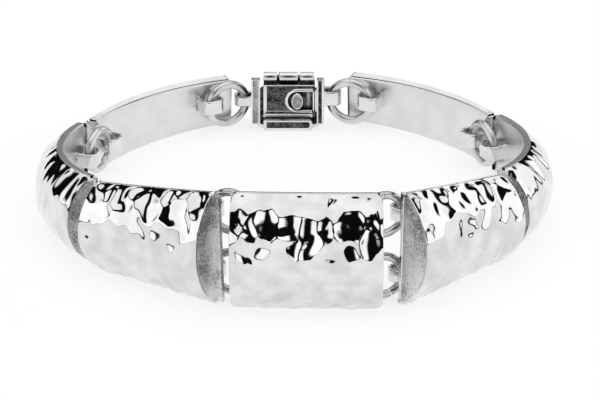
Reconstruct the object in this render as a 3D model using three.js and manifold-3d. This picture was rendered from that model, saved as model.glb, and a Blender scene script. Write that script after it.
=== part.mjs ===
// A hammered silver link bracelet, closed and lying on its lower edge. Seven domed links taper from
// the centre of the front to a box clasp at the back, and jump rings through soldered straps join
// them. Millimetres and degrees, +Z up, the centre link towards -Y and the clasp towards +Y.
import * as THREE from "three";
import { mergeVertices } from "three/addons/utils/BufferGeometryUtils.js";
import Module from "manifold-3d";

const wasm = await Module();
wasm.setup();

// ---------------------------------------------------------------- driving dimensions

// A link is an inner plate with a domed front soldered on. Its a end is the one nearer the centre
// link. bow is how far the inner face curves out from the straight line between its ends, and lean
// is how far the ends of a tapered link lean over when it lies on its lower edge. For each end,
// depth runs from the inner face to the crest of the dome, and edge is the square edge's share of it.
const LINKS = {
  centre: {
    length: 18.9, bow: 0.2, lean: 0, stations: 3,
    a: { height: 15.8, depth: 4.9, edge: 0.8 },
    b: { height: 15.8, depth: 4.9, edge: 0.8 },
  },
  front: {
    length: 18.6, bow: 0.2, lean: 2, stations: 3,
    a: { height: 15.4, depth: 4.9, edge: 0.8 },
    b: { height: 11.8, depth: 4.8, edge: 0.8 },
  },
  side: {
    length: 25.3, bow: 3.4, lean: 3, stations: 11,
    a: { height: 11.7, depth: 4.6, edge: 0.8 },
    b: { height: 7.9, depth: 2.9, edge: 0.9 },
  },
  back: {
    length: 24.0, bow: 2.15, lean: 1.5, stations: 9,
    a: { height: 7.6, depth: 2.9, edge: 0.9 },
    b: { height: 6.35, depth: 2.7, edge: 1.8 },
  },
};
const DOME_STEPS = 12;

// Where each link lies in plan: the middle of its chord, and how far it is turned from the front.
// The left half is written as its mirror image. The links lie a little unevenly, as a limp chain does.
const CENTRE_PLACE = { x: 0.86, y: -31.9, turn: -1.1 };
const PLACES = {
  right: {
    front: { x: 18.85, y: -24.45, turn: 47.6 },
    side: { x: 25.65, y: -3.2, turn: 89.7 },
    back: { x: 15.7, y: 18.4, turn: 140.1 },
  },
  left: {
    front: { x: 17.8, y: -25.35, turn: 36.9 },
    side: { x: 27.2, y: -5.6, turn: 84.9 },
    back: { x: 18.1, y: 17.0, turn: 137.6 },
  },
};
// The left front link's inner plate runs on past its end as a narrow tab.
const TAB = { length: 0.9, margin: 0.4, root: 0.3 };

// Jump rings of round wire, and the heights of their centres at each joint. The rings beside the
// clasp are a little larger, and hang lower than the straps and lugs that they go through.
const RING = { diameter: 5.3, wire: 1.05, sides: 16, wireSides: 6 };
const CLASP_RING = { ...RING, diameter: 5.45, wire: 1.12 };
const FRONT_RING_HEIGHTS = { right: { lower: 3.25, upper: 11.7 }, left: { lower: 3.7, upper: 12.0 } };
const SIDE_RING_HEIGHT = 5.85;
const BACK_RING_HEIGHT = 3.95;
const CLASP_RING_HEIGHTS = { left: 3.45, right: 3.55 };

// A strap is a strip bent into an arch and soldered on by its feet, with its hole upright. inset is
// the distance from a link's end to the middle of the hole, along the inner face.
const STRAP = { length: 3.1, rise: 2.7, wall: 0.4, width: 1.95, corner: 1.0, root: 0.3 };
const STRAP_INSETS = { centre: 2.35, frontA: 1.75, frontB: 1.95, sideA: 1.95, sideB: 1.7, backA: 1.7, backB: 3.65 };
const CLASP_STRAP_HEIGHT = 3.85;

// The clasp. Its own frame has x along the chain, y out from the wrist and z up, with the origin
// on the floor under the middle of the box's inner panel.
const CLASP_PLACE = { x: -1.6, y: 23.1 };
const END_PLATE = { height: 6.5, middle: 4.05, front: -0.2, edge: 0.6, depth: 3.0 };
const BOX_END_PLATE = [-4.91, -3.8];
const TONGUE_END_PLATE = [3.88, 4.8];
const BOX = { left: -3.3, right: 3.6, bottom: 1.8, top: 6.3, wall: 0.45, innerBack: 1.8 };
const NECK = { front: 0.6, back: 1.8, bottom: 2.5, top: 5.2 };
const SLOT = { end: 0.0, radius: 1.4, middle: 4.1 };
const LEAF = { left: -2.4, bottom: 2.75, top: 5.45, thickness: 0.25, front: 0.75, back: 1.2 };
const BUTTON = { x: 1.22, z: 4.15, width: 1.55, height: 2.3, proud: 0.3, thickness: 0.5, post: 0.7 };
const SLOT_BAR = { left: 3.3, bottom: 2.95, top: 5.25, front: -0.1, back: 0.35 };
const LUG = { length: 2.3, span: 2.2, y: 1.7 };
const BOX_LUG = { width: 1.35, height: 3.65 };
const TONGUE_LUG = { width: 1.95, height: 4.05 };

// The safety cover's hinge barrel, domed shell and lip. The front outline that trims the shell is
// narrow below the hinge, full width over the lower half, and cut back again along the hem.
const BARREL = { y: 1.1, z: 7.15, radius: 0.6, pin: 0.22, bore: 0.37, sides: 16 };
const KNUCKLES = { left: [-3.25, -1.5], middle: [-1.2, 1.35], right: [1.6, 3.45] };
const KNUCKLE_WEB = { front: 0.75, back: 1.45, drop: 0.2 };
const SHELL = { gap: 0.3, thickness: 0.5, fromAngle: 61, toAngle: -82, steps: 14 };
const SHELL_CLEARANCE = 0.8;
const COVER_OUTLINE = { top: 8, neck: 4.9, shoulder: 3.7, hem: 0.5, bottom: 0.1, halfNeck: 3.25, halfLength: 4.7 };
const LIP = { halfLength: 3.25, front: -1.0, back: 1.0, top: 1.65, wall: 0.5, corner: 0.4 };

// ---------------------------------------------------------------- materials

const polishedSilver = new THREE.MeshStandardMaterial({ color: 0xdcdcde, roughness: 0.12, metalness: 1 });
const ringSilver = new THREE.MeshStandardMaterial({ color: 0xd2d2d4, roughness: 0.2, metalness: 1 });
const oxidisedSilver = new THREE.MeshStandardMaterial({ color: 0x8c8c8a, roughness: 0.35, metalness: 1 });

// ---------------------------------------------------------------- solids

const radians = THREE.MathUtils.degToRad;

function toSolid(geometry) {
  const bare = geometry.clone();
  bare.deleteAttribute("normal");
  bare.deleteAttribute("uv");
  const merged = mergeVertices(bare, 1e-4);
  return new wasm.Manifold(
    new wasm.Mesh({
      numProp: 3,
      vertProperties: merged.attributes.position.array,
      triVerts: new Uint32Array(merged.index.array),
    }),
  );
}

function toGeometry(solid) {
  const mesh = solid.getMesh();
  const geometry = new THREE.BufferGeometry();
  geometry.setAttribute("position", new THREE.BufferAttribute(mesh.vertProperties, 3));
  geometry.setIndex(new THREE.BufferAttribute(mesh.triVerts, 1));
  geometry.computeVertexNormals();
  return geometry;
}

const join = (...geometries) => geometries.map(toSolid).reduce((whole, next) => whole.add(next));

function block(x, y, z) {
  const box = new THREE.BoxGeometry(x[1] - x[0], y[1] - y[0], z[1] - z[0]);
  return box.translate((x[0] + x[1]) / 2, (y[0] + y[1]) / 2, (z[0] + z[1]) / 2);
}

// A round bar along x.
function barAlongX(x, y, z, radius) {
  const bar = new THREE.CylinderGeometry(radius, radius, x[1] - x[0], BARREL.sides);
  return bar.rotateZ(Math.PI / 2).translate((x[0] + x[1]) / 2, y, z);
}

// A profile drawn as (y, z) points and extruded along x.
function extrudeAlongX(profile, x) {
  const extruded = new THREE.ExtrudeGeometry(profile, { depth: x[1] - x[0], bevelEnabled: false });
  const turned = new THREE.Matrix4().makeBasis(
    new THREE.Vector3(0, 1, 0),
    new THREE.Vector3(0, 0, 1),
    new THREE.Vector3(1, 0, 0),
  );
  return extruded.applyMatrix4(turned).translate(x[0], 0, 0);
}

// A closed skin through rings of points that all run the same way round, each one convex.
function loft(rings) {
  const around = rings[0].length;
  const indices = [];
  for (let ring = 0; ring + 1 < rings.length; ring++) {
    for (let i = 0; i < around; i++) {
      const a = ring * around + i;
      const b = ring * around + ((i + 1) % around);
      indices.push(a, b + around, b, a, a + around, b + around);
    }
  }
  const last = (rings.length - 1) * around;
  for (let i = 1; i + 1 < around; i++) {
    indices.push(0, i, i + 1);
    indices.push(last, last + i + 1, last + i);
  }
  const geometry = new THREE.BufferGeometry().setFromPoints(rings.flat());
  geometry.setIndex(indices);
  return geometry;
}

// ---------------------------------------------------------------- links

// A place on a link's inner face, in the link's own frame: x along the chord from the a end to
// the b end, y in towards the wrist. t runs from -1 at the a end to 1 at the b end.
function station(link, t) {
  const radius = (link.length ** 2 / 4 + link.bow ** 2) / (2 * link.bow);
  const angle = t * Math.asin(link.length / 2 / radius);
  const between = (size) => THREE.MathUtils.lerp(link.a[size], link.b[size], (t + 1) / 2);
  return {
    x: radius * Math.sin(angle),
    y: radius - link.bow - radius * Math.cos(angle),
    angle,
    radius,
    height: between("height"),
    depth: between("depth"),
    edge: between("edge"),
  };
}

// How far the lean moves a point at height z along the link.
const leanShift = (link, z) => (z - (link.a.height + link.b.height) / 4) * Math.tan(radians(link.lean));

// The D-shaped section: the plate's square edge, then an arc over the crest. Points are (out, up).
function domeSection({ height, depth, edge }) {
  const rise = depth - edge;
  const radius = (height ** 2 / 4 + rise ** 2) / (2 * rise);
  const half = Math.asin(height / 2 / radius);
  const points = [[0, height], [0, 0]];
  for (let i = 0; i <= DOME_STEPS; i++) {
    const angle = -half + (2 * half * i) / DOME_STEPS;
    points.push([depth - radius + radius * Math.cos(angle), height / 2 + radius * Math.sin(angle)]);
  }
  return points;
}

function linkBody(link) {
  const rings = [];
  for (let i = 0; i < link.stations; i++) {
    const at = station(link, (2 * i) / (link.stations - 1) - 1);
    rings.push(
      domeSection(at).map(([out, up]) => new THREE.Vector3(
        at.x + out * Math.sin(at.angle) + leanShift(link, up),
        at.y - out * Math.cos(at.angle),
        up,
      )),
    );
  }
  return loft(rings);
}

// The tab that carries the inner plate on past the a end.
function plateTab(link) {
  const end = station(link, -1);
  const tab = block([end.x - TAB.length, end.x + TAB.root], [-end.edge, 0], [TAB.margin, end.height - TAB.margin]);
  const lean = Math.tan(radians(link.lean));
  const shear = new THREE.Matrix4().makeShear(0, 0, 0, 0, lean, 0);
  return tab.applyMatrix4(shear).translate(leanShift(link, 0), 0, 0);
}

// The strap's arch, drawn in plan with its feet at y = 0, and extruded upwards about height z.
function arch(length, rise, width, z) {
  const { wall, corner, root } = STRAP;
  const inner = corner - wall;
  const half = length / 2;
  const shape = new THREE.Shape();
  shape.moveTo(-half, -root);
  shape.lineTo(-half, rise - corner);
  shape.absarc(-half + corner, rise - corner, corner, Math.PI, Math.PI / 2, true);
  shape.absarc(half - corner, rise - corner, corner, Math.PI / 2, 0, true);
  shape.lineTo(half, -root);
  shape.lineTo(half - wall, -root);
  shape.lineTo(half - wall, rise - corner);
  shape.absarc(half - corner, rise - corner, inner, 0, Math.PI / 2, false);
  shape.absarc(-half + corner, rise - corner, inner, Math.PI / 2, Math.PI, false);
  shape.lineTo(-half + wall, -root);
  const extruded = new THREE.ExtrudeGeometry(shape, { depth: width, bevelEnabled: false, curveSegments: 3 });
  return extruded.translate(0, 0, z - width / 2);
}

const archHoleDepth = (rise) => (rise - STRAP.wall) / 2;

// A strap at one end of a link: t is -1 or 1, and z is the height of its middle.
function strapPlace(link, t, inset, z) {
  const end = station(link, t);
  const at = station(link, t * (1 - inset / end.radius / Math.abs(end.angle)));
  return new THREE.Matrix4()
    .makeTranslation(at.x + leanShift(link, z), at.y, 0)
    .multiply(new THREE.Matrix4().makeRotationZ(at.angle));
}

function strap(link, t, inset, z) {
  return arch(STRAP.length, STRAP.rise, STRAP.width, z).applyMatrix4(strapPlace(link, t, inset, z));
}

function strapHole(link, t, inset, z) {
  return new THREE.Vector3(0, archHoleDepth(STRAP.rise), z).applyMatrix4(strapPlace(link, t, inset, z));
}

// Where the straps sit on each link: the end (t), the inset and the heights.
const FITTINGS = {
  centre: [
    { t: -1, inset: STRAP_INSETS.centre, heights: Object.values(FRONT_RING_HEIGHTS.left) },
    { t: 1, inset: STRAP_INSETS.centre, heights: Object.values(FRONT_RING_HEIGHTS.right) },
  ],
  frontRight: [
    { t: -1, inset: STRAP_INSETS.frontA, heights: Object.values(FRONT_RING_HEIGHTS.right) },
    { t: 1, inset: STRAP_INSETS.frontB, heights: [SIDE_RING_HEIGHT] },
  ],
  frontLeft: [
    { t: -1, inset: STRAP_INSETS.frontA, heights: Object.values(FRONT_RING_HEIGHTS.left) },
    { t: 1, inset: STRAP_INSETS.frontB, heights: [SIDE_RING_HEIGHT] },
  ],
  side: [
    { t: -1, inset: STRAP_INSETS.sideA, heights: [SIDE_RING_HEIGHT] },
    { t: 1, inset: STRAP_INSETS.sideB, heights: [BACK_RING_HEIGHT] },
  ],
  back: [
    { t: -1, inset: STRAP_INSETS.backA, heights: [BACK_RING_HEIGHT] },
    { t: 1, inset: STRAP_INSETS.backB, heights: [CLASP_STRAP_HEIGHT] },
  ],
};

function makeLink(name, link, fittings, place, extras = []) {
  const straps = fittings.flatMap(({ t, inset, heights }) => heights.map((z) => strap(link, t, inset, z)));
  const mesh = new THREE.Mesh(toGeometry(join(linkBody(link), ...straps, ...extras)), polishedSilver);
  mesh.name = name;
  mesh.position.set(place.x, place.y, 0);
  mesh.rotation.z = radians(place.turn);
  mesh.userData = { link, fittings };
  return mesh;
}

// The middle of a strap's hole at height z, in the bracelet's frame.
function holeOn(mesh, t, z) {
  const { link, fittings } = mesh.userData;
  const { inset } = fittings.find((fitting) => fitting.t === t);
  return mesh.localToWorld(strapHole(link, t, inset, z));
}

// ---------------------------------------------------------------- jump rings

// An upright ring through two holes, which may be a little nearer or further than its diameter.
function makeRing(name, ring, holeA, holeB) {
  const torus = new THREE.TorusGeometry(ring.diameter / 2, ring.wire / 2, ring.wireSides, ring.sides);
  const mesh = new THREE.Mesh(toGeometry(toSolid(torus.rotateX(Math.PI / 2))), ringSilver);
  mesh.name = name;
  mesh.position.addVectors(holeA, holeB).multiplyScalar(0.5);
  mesh.rotation.z = Math.atan2(holeB.y - holeA.y, holeB.x - holeA.x);
  return mesh;
}

// ---------------------------------------------------------------- clasp

// The plates' domed edge is part of a circle, and the cover's shell is concentric with it.
const plateRise = END_PLATE.depth - END_PLATE.edge;
const domeRadius = (END_PLATE.height ** 2 / 4 + plateRise ** 2) / (2 * plateRise);
const domeCentre = { y: END_PLATE.front + END_PLATE.depth - domeRadius, z: END_PLATE.middle };
const boxBack = END_PLATE.front + END_PLATE.depth;

function endPlate(x) {
  const half = Math.asin(END_PLATE.height / 2 / domeRadius);
  const profile = new THREE.Shape();
  profile.moveTo(END_PLATE.front, END_PLATE.middle + END_PLATE.height / 2);
  profile.lineTo(END_PLATE.front, END_PLATE.middle - END_PLATE.height / 2);
  profile.absarc(domeCentre.y, domeCentre.z, domeRadius, -half, half, false);
  return extrudeAlongX(profile, x);
}

// A lug is an arch on the outer face of an end plate, pointing away from the clasp.
function lug(x, side, { width, height }) {
  return arch(LUG.span, LUG.length, width, height).rotateZ((-side * Math.PI) / 2).translate(x, LUG.y, 0);
}

const lugHole = (x, side, z) => new THREE.Vector3(x + side * archHoleDepth(LUG.length), LUG.y, z);

// The box: a D-shaped tube shut at the left, with a slot for the thumb button in its inner panel.
function boxShell() {
  const topHalf = BOX.top - domeCentre.z;
  const bottomHalf = domeCentre.z - BOX.bottom;
  const profile = new THREE.Shape();
  profile.moveTo(0, BOX.top);
  profile.lineTo(0, BOX.bottom);
  const from = -Math.asin(bottomHalf / domeRadius);
  const to = Math.asin(topHalf / domeRadius);
  profile.absarc(domeCentre.y, domeCentre.z, domeRadius, from, to, false);
  const outer = extrudeAlongX(profile, [BOX.left, BOX.right]);
  const open = BOX.right + BOX.wall;
  const cavity = block(
    [BOX.left + BOX.wall, open],
    [BOX.wall, BOX.innerBack],
    [BOX.bottom + BOX.wall, BOX.top - BOX.wall],
  );
  const slotCentre = SLOT.end + SLOT.radius;
  const slotEnd = new THREE.CylinderGeometry(SLOT.radius, SLOT.radius, 2 * BOX.wall, 20);
  slotEnd.translate(slotCentre, BOX.wall / 2, SLOT.middle);
  const slotRun = block(
    [slotCentre, open],
    [-BOX.wall / 2, 1.5 * BOX.wall],
    [SLOT.middle - SLOT.radius, SLOT.middle + SLOT.radius],
  );
  return toSolid(outer).subtract(toSolid(cavity)).subtract(toSolid(slotEnd)).subtract(toSolid(slotRun));
}

function claspBox() {
  const plate = endPlate(BOX_END_PLATE);
  const neck = block([BOX_END_PLATE[1] - 0.1, BOX.left + 0.1], [NECK.front, NECK.back], [NECK.bottom, NECK.top]);
  const pin = barAlongX([KNUCKLES.left[0], KNUCKLES.right[1]], BARREL.y, BARREL.z, BARREL.pin);
  const webs = [KNUCKLES.left, KNUCKLES.right].map((x) =>
    block(x, [KNUCKLE_WEB.front, KNUCKLE_WEB.back], [BOX.top - KNUCKLE_WEB.drop, BARREL.z]),
  );
  const knuckles = [KNUCKLES.left, KNUCKLES.right].map((x) => barAlongX(x, BARREL.y, BARREL.z, BARREL.radius));
  const ringLug = lug(BOX_END_PLATE[0], -1, BOX_LUG);
  return boxShell().add(join(plate, neck, pin, ...webs, ...knuckles, ringLug));
}

// The tongue: a strip folded into two leaves, with the thumb button on a post from the front one.
function claspTongue() {
  const ringLug = lug(TONGUE_END_PLATE[1], 1, TONGUE_LUG);
  const root = TONGUE_END_PLATE[0] + 0.1;
  const height = [LEAF.bottom, LEAF.top];
  const frontLeaf = block([LEAF.left, root], [LEAF.front, LEAF.front + LEAF.thickness], height);
  const backLeaf = block([LEAF.left, root], [LEAF.back, LEAF.back + LEAF.thickness], height);
  const fold = block([LEAF.left, LEAF.left + LEAF.thickness], [LEAF.front, LEAF.back + LEAF.thickness], height);
  const post = block(
    [BUTTON.x - BUTTON.post / 2, BUTTON.x + BUTTON.post / 2],
    [-BUTTON.proud + 0.1, LEAF.front + 0.1],
    [BUTTON.z - BUTTON.post, BUTTON.z + BUTTON.post],
  );
  const button = new THREE.CylinderGeometry(0.5, 0.5, BUTTON.thickness, 16);
  button.scale(BUTTON.width, 1, BUTTON.height);
  button.translate(BUTTON.x, -BUTTON.proud + BUTTON.thickness / 2, BUTTON.z);
  const bar = block([SLOT_BAR.left, root], [SLOT_BAR.front, SLOT_BAR.back], [SLOT_BAR.bottom, SLOT_BAR.top]);
  return join(endPlate(TONGUE_END_PLATE), frontLeaf, backLeaf, fold, post, button, bar, ringLug);
}

// The safety cover: a domed shell over the outside of the clasp, hinged at the top, with a lip
// that wraps under the box and closes against it on the wrist side.
function safetyCover() {
  const inner = domeRadius + SHELL.gap;
  const outer = inner + SHELL.thickness;
  const from = radians(SHELL.fromAngle);
  const to = radians(SHELL.toAngle);
  const profile = new THREE.Shape();
  for (let i = 0; i <= SHELL.steps; i++) {
    const angle = THREE.MathUtils.lerp(from, to, i / SHELL.steps);
    const point = [domeCentre.y + outer * Math.cos(angle), domeCentre.z + outer * Math.sin(angle)];
    if (i === 0) profile.moveTo(...point);
    else profile.lineTo(...point);
  }
  for (let i = SHELL.steps; i >= 0; i--) {
    const angle = THREE.MathUtils.lerp(from, to, i / SHELL.steps);
    profile.lineTo(domeCentre.y + inner * Math.cos(angle), domeCentre.z + inner * Math.sin(angle));
  }
  const { top, neck, shoulder, hem, bottom, halfNeck, halfLength } = COVER_OUTLINE;
  const shell = toSolid(extrudeAlongX(profile, [-halfLength, halfLength]));

  // The front outline that trims the shell, drawn as (x, z) and extruded along y.
  const outline = new THREE.Shape();
  outline.moveTo(-halfNeck, top);
  outline.lineTo(-halfNeck, neck);
  outline.lineTo(-halfLength, shoulder);
  outline.lineTo(-halfLength, hem);
  outline.lineTo(-halfNeck, bottom);
  outline.lineTo(halfNeck, bottom);
  outline.lineTo(halfLength, hem);
  outline.lineTo(halfLength, shoulder);
  outline.lineTo(halfNeck, neck);
  outline.lineTo(halfNeck, top);
  const trim = new THREE.ExtrudeGeometry(outline, { depth: 10, bevelEnabled: false });
  trim.rotateX(Math.PI / 2).translate(0, 6, 0);

  // Room for the box's two knuckles, then the cover's own knuckle and the lip.
  const clearances = [
    barAlongX([-halfLength, KNUCKLES.middle[0]], BARREL.y, BARREL.z, SHELL_CLEARANCE),
    barAlongX([KNUCKLES.middle[1], halfLength], BARREL.y, BARREL.z, SHELL_CLEARANCE),
  ];
  const knuckle = barAlongX(KNUCKLES.middle, BARREL.y, BARREL.z, BARREL.radius);
  const { corner, wall } = LIP;
  const round = wall / 2;
  const lipProfile = new THREE.Shape();
  lipProfile.moveTo(LIP.back, bottom);
  lipProfile.lineTo(LIP.back, bottom + wall);
  lipProfile.lineTo(LIP.front + wall, bottom + wall);
  lipProfile.absarc(LIP.front + round, LIP.top - round, round, 0, Math.PI, false);
  lipProfile.absarc(LIP.front + corner, bottom + corner, corner, Math.PI, 1.5 * Math.PI, false);
  const lip = extrudeAlongX(lipProfile, [-LIP.halfLength, LIP.halfLength]);
  const bore = barAlongX([KNUCKLES.middle[0] - 1, KNUCKLES.middle[1] + 1], BARREL.y, BARREL.z, BARREL.bore);
  return shell
    .intersect(toSolid(trim))
    .subtract(join(...clearances))
    .add(join(knuckle, lip))
    .subtract(toSolid(bore));
}

function makeClasp() {
  const clasp = new THREE.Group();
  clasp.position.set(CLASP_PLACE.x, CLASP_PLACE.y, 0);
  for (const [name, solid] of [
    ["clasp_box", claspBox()],
    ["clasp_tongue", claspTongue()],
    ["safety_cover", safetyCover()],
  ]) {
    const mesh = new THREE.Mesh(toGeometry(solid), oxidisedSilver);
    mesh.name = name;
    clasp.add(mesh);
  }
  return clasp;
}

// ---------------------------------------------------------------- the bracelet

const bracelet = new THREE.Group();
const centre = makeLink("link_centre", LINKS.centre, FITTINGS.centre, CENTRE_PLACE);
bracelet.add(centre);
const clasp = makeClasp();
bracelet.add(clasp);

// Each half of the chain, from the centre link round to the clasp.
for (const side of ["right", "left"]) {
  const isLeft = side === "left";
  const half = new THREE.Group();
  half.scale.x = isLeft ? -1 : 1;
  bracelet.add(half);
  const places = PLACES[side];
  const frontFittings = isLeft ? FITTINGS.frontLeft : FITTINGS.frontRight;
  const tab = isLeft ? [plateTab(LINKS.front)] : [];
  const front = makeLink(`link_front_${side}`, LINKS.front, frontFittings, places.front, tab);
  const wing = makeLink(`link_side_${side}`, LINKS.side, FITTINGS.side, places.side);
  const back = makeLink(`link_back_${side}`, LINKS.back, FITTINGS.back, places.back);
  half.add(front, wing, back);
  bracelet.updateMatrixWorld(true);

  for (const [level, z] of Object.entries(FRONT_RING_HEIGHTS[side])) {
    bracelet.add(makeRing(`ring_front_${side}_${level}`, RING, holeOn(centre, isLeft ? -1 : 1, z), holeOn(front, -1, z)));
  }
  const sideZ = SIDE_RING_HEIGHT;
  bracelet.add(makeRing(`ring_side_${side}`, RING, holeOn(front, 1, sideZ), holeOn(wing, -1, sideZ)));
  const backZ = BACK_RING_HEIGHT;
  bracelet.add(makeRing(`ring_back_${side}`, RING, holeOn(wing, 1, backZ), holeOn(back, -1, backZ)));
  const claspZ = CLASP_RING_HEIGHTS[side];
  const onClasp = isLeft ? lugHole(BOX_END_PLATE[0], -1, claspZ) : lugHole(TONGUE_END_PLATE[1], 1, claspZ);
  const onBack = holeOn(back, 1, claspZ);
  bracelet.add(makeRing(`ring_clasp_${side}`, CLASP_RING, clasp.localToWorld(onClasp), onBack));
}

// The origin is the middle of the bracelet's footprint, on the surface that it lies on.
const bounds = new THREE.Box3().setFromObject(bracelet, true);
const middle = bounds.getCenter(new THREE.Vector3());
bracelet.position.set(-middle.x, -middle.y, -bounds.min.z);

const part = new THREE.Group();
part.add(bracelet);

export default part;
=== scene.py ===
import math
import random

import bmesh
import bpy
from mathutils import Matrix, Vector, kdtree, noise


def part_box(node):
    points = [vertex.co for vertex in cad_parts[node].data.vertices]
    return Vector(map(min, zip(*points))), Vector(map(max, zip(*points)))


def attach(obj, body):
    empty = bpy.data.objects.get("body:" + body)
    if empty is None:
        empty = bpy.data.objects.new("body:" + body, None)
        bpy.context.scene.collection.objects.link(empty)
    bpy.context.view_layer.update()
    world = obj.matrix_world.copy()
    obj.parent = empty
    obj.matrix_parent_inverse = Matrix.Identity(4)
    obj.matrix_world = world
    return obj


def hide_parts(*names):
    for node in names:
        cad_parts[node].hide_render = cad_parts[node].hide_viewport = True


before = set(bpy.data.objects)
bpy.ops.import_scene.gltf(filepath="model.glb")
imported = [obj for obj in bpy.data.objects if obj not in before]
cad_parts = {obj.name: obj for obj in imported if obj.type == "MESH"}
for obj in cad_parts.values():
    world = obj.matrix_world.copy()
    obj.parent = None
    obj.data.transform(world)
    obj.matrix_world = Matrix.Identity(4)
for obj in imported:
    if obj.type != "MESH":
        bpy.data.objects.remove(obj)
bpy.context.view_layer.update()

# ---------------------------------------------------------------- camera and studio
# The bracelet lies on a pale table and is seen from the front, a little above it. The silver
# mirrors the room: a white ceiling overhead, a dark band of room below it, and the table.

view_rise = math.radians(24.53)
view_point = Vector((0.00076, 0.00418, 0))
view_distance = 0.8

lens = bpy.data.cameras.new("camera")
lens.sensor_width = 36
lens.lens = 365.8
lens.clip_start = 0.05
lens.clip_end = 20
camera = bpy.data.objects.new("camera", lens)
camera.location = view_point + view_distance * Vector((0, -math.cos(view_rise), math.sin(view_rise)))
camera.rotation_euler = (math.pi / 2 - view_rise, 0, 0)
bpy.context.scene.collection.objects.link(camera)
bpy.context.scene.camera = camera
bpy.context.scene.view_settings.view_transform = "Standard"


def node_material(name):
    """A new material, its shader, and a function that adds a node to it and wires it."""
    material = bpy.data.materials.new(name)
    material.use_nodes = True
    tree = material.node_tree
    return material, tree.nodes["Principled BSDF"], wiring(tree)


def wiring(tree):
    """A function that adds a node to this tree: each input is a value to set or a socket to link."""

    def add(kind, inputs=(), **settings):
        node = tree.nodes.new(kind)
        for key, value in settings.items():
            setattr(node, key, value)
        for socket, value in dict(inputs).items():
            if isinstance(value, bpy.types.NodeSocket):
                tree.links.new(value, node.inputs[socket])
            else:
                node.inputs[socket].default_value = value
        return node

    return add


# The room, by height in the view from the table: a ceiling panel, a dark gap under it, and bright
# panels at the sides, down to the table's edge. Behind the table the panel starts higher up, and in
# front of the table it is dark up to the ceiling.
world = bpy.data.worlds.new("room")
world.use_nodes = True
bpy.context.scene.world = world
room = wiring(world.node_tree)
looking = room("ShaderNodeTexCoord").outputs["Generated"]
height = room("ShaderNodeSeparateXYZ", {0: looking}).outputs["Z"]


def room_wall(*stops):
    """One side of the room, as heights and how bright it is at each."""
    ramp = room("ShaderNodeValToRGB", {0: height})
    elements = ramp.color_ramp.elements
    while len(elements) < len(stops):
        elements.new(0.5)
    for element, (place, grey) in zip(elements, stops):
        element.position, element.color = place, (grey, grey, grey, 1)
    return ramp.outputs["Color"]


DARK, CEILING, PANEL, FAR_PANEL = 0.004, 1.12, 1.3, 1.08
ABOVE_PANELS = ((0.54, DARK), (0.69, DARK), (0.72, CEILING))
sides = room_wall((0.0, DARK), (0.03, DARK), (0.05, PANEL), (0.50, PANEL), *ABOVE_PANELS)
front = room_wall((0.0, DARK), (0.79, DARK), (0.83, CEILING))
back = room_wall((0.0, DARK), (0.30, DARK), (0.38, FAR_PANEL), (0.50, FAR_PANEL), *ABOVE_PANELS)
flat = room("ShaderNodeVectorMath", {0: looking, 1: (1, 1, 0)}, operation="MULTIPLY").outputs[0]
level = room("ShaderNodeVectorMath", {0: flat}, operation="NORMALIZE").outputs[0]


def part_of_room(towards, start, end):
    """0 to 1 as the view turns to face this way, over these two cosines."""
    facing = room("ShaderNodeVectorMath", {0: level, 1: towards}, operation="DOT_PRODUCT").outputs["Value"]
    reach = room("ShaderNodeMapRange", {"Value": facing, "From Min": start, "From Max": end}, clamp=True)
    return reach.outputs[0]


def joined(base, other, share):
    blend = room("ShaderNodeMix", {0: share}, data_type="RGBA")
    world.node_tree.links.new(base, blend.inputs[6])
    world.node_tree.links.new(other, blend.inputs[7])
    return blend.outputs[2]


walls = joined(sides, front, part_of_room((0, -1, 0), 0.95, 0.982))
walls = joined(walls, back, part_of_room((-0.29, 0.957, 0), 0.62, 0.74))
world_light = world.node_tree.nodes["Background"]
world.node_tree.links.new(walls, world_light.inputs["Color"])

TABLE_HALF_WIDTH = 2.5
bm = bmesh.new()
bmesh.ops.create_grid(bm, x_segments=1, y_segments=1, size=TABLE_HALF_WIDTH)
table_mesh = bpy.data.meshes.new("table")
bm.to_mesh(table_mesh)
bm.free()
table = bpy.data.objects.new("table", table_mesh)
bpy.context.scene.collection.objects.link(table)
pale_table, shader, add = node_material("pale_table")
shader.inputs["Base Color"].default_value = (0.34, 0.34, 0.34, 1)
shader.inputs["Roughness"].default_value = 0.9
shader.inputs["Specular IOR Level"].default_value = 0
shader.inputs["Emission Color"].default_value = (1, 1, 1, 1)
shader.inputs["Emission Strength"].default_value = 0.73
table_mesh.materials.append(pale_table)

# ---------------------------------------------------------------- links
# Seven hollow links of sterling silver, each a domed front over an inner plate, closed by two
# D-shaped end plates and soldered. The domes are hammered all over with a round-faced hammer and
# mirror polished, the inner plates are satin, and the end plates are left sanded. Millimetres.

# Each link's length, how far its inner face bows, the lean of its ends, the radius of its corners,
# the slope of its top edge, and its height, depth and edge thickness at its wide and narrow ends.
LINKS = {
    "centre": dict(length=18.9, bow=0.2, lean=0, corner=0.8, top=0.03, a=(15.8, 4.9, 0.8), b=(15.8, 4.9, 0.8)),
    "front": dict(length=18.6, bow=0.2, lean=2, corner=0.25, top=0.12, a=(15.4, 4.9, 0.8), b=(11.8, 4.8, 0.8)),
    "side": dict(length=25.3, bow=3.4, lean=3, corner=0.25, top=0.05, a=(11.7, 4.6, 0.8), b=(7.9, 2.9, 0.9)),
    "back": dict(length=24.0, bow=2.15, lean=1.5, corner=0.55, top=0.08, a=(7.6, 2.9, 0.9), b=(6.35, 2.7, 1.8)),
}
FINE = 0.13  # size of the dome's mesh
CORNER, FLAT = 0.18, 0.12  # radius of the inner plate's long corners, and the flat beside them

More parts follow.
